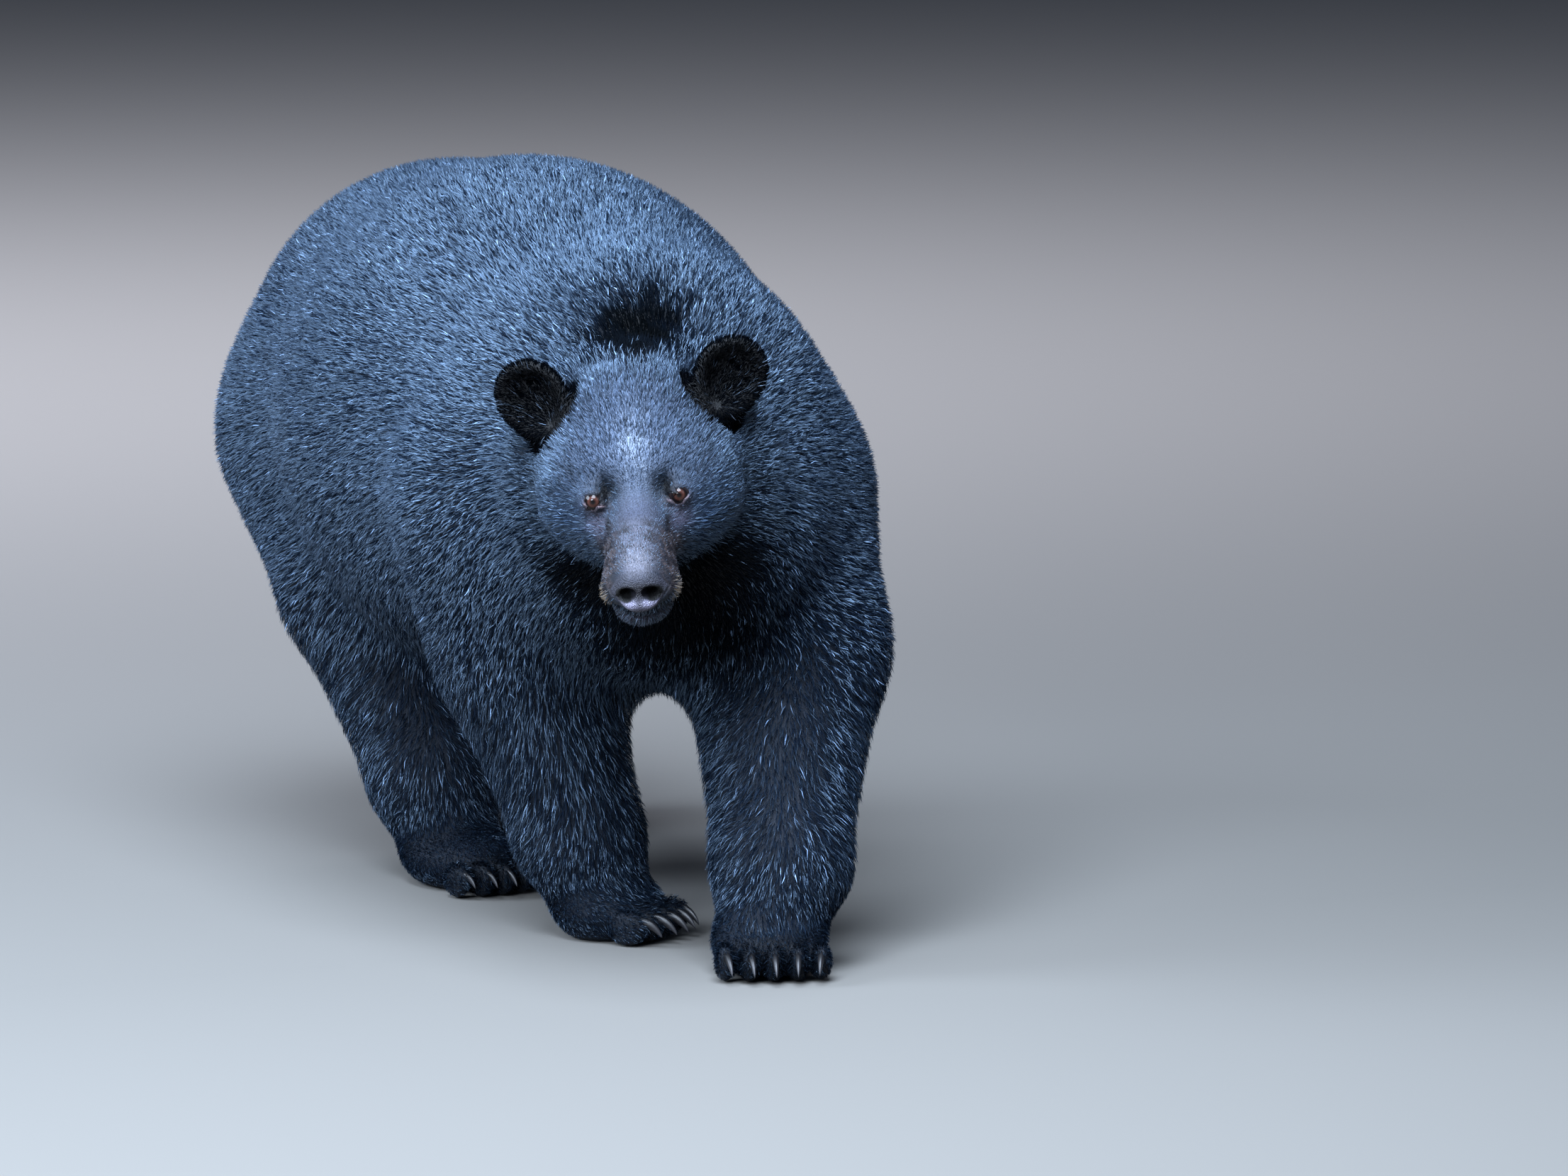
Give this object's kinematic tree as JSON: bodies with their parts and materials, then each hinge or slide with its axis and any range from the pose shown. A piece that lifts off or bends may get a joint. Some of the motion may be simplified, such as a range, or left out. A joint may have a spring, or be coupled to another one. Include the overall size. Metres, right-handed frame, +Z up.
{
  "type": "american black bear, standing adult",
  "caption": "Life-size still model of a heavy adult black bear in a walking stance, head low and turned to its right, on four flat soles",
  "frame": {"origin": "on the floor, under the middle of the whole bear's bounding box", "axes": "+Z up, the bear faces -Y, and its left side is towards +X; metres"},
  "size_m": [0.6006, 1.5814, 0.8847],
  "materials": {
    "coat": "dense black fur, soft on the back and flanks and longer on the legs and belly, with a cold blue sheen",
    "muzzle_hair": "very short grey-brown hair over dark skin",
    "ear_hair": "short dense black hair, thin inside the cup",
    "nose_leather": "bare black pebbled skin, wet",
    "claw": "grey horn, paler towards the tip, worn smooth",
    "eye": "brown iris and black pupil under a wet clear cornea"
  },
  "bodies": {
    "root": {"eye_left": "eye", "eye_right": "eye", "ear_left": "ear_hair", "ear_right": "ear_hair", "nose": "nose_leather", "lower_jaw": "muzzle_hair", "muzzle": "muzzle_hair", "head": "coat", "foreleg_left_claw_1": "claw", "foreleg_left_claw_2": "claw", "foreleg_left_claw_3": "claw", "foreleg_left_claw_4": "claw", "foreleg_left_claw_5": "claw", "foreleg_right_claw_1": "claw", "foreleg_right_claw_2": "claw", "foreleg_right_claw_3": "claw", "foreleg_right_claw_4": "claw", "foreleg_right_claw_5": "claw", "hindleg_left_claw_1": "claw", "hindleg_left_claw_2": "claw", "hindleg_left_claw_3": "claw", "hindleg_left_claw_4": "claw", "hindleg_left_claw_5": "claw", "hindleg_right_claw_1": "claw", "hindleg_right_claw_2": "claw", "hindleg_right_claw_3": "claw", "hindleg_right_claw_4": "claw", "hindleg_right_claw_5": "claw", "foreleg_left_paw": "coat", "foreleg_left_lower": "coat", "foreleg_left_upper": "coat", "foreleg_right_paw": "coat", "foreleg_right_lower": "coat", "foreleg_right_upper": "coat", "hindleg_left_paw": "coat", "hindleg_left_lower": "coat", "hindleg_left_upper": "coat", "hindleg_right_paw": "coat", "hindleg_right_lower": "coat", "hindleg_right_upper": "coat", "tail": "coat", "neck": "coat", "chest": "coat", "belly": "coat", "rump": "coat"}
  },
  "joints": []
}
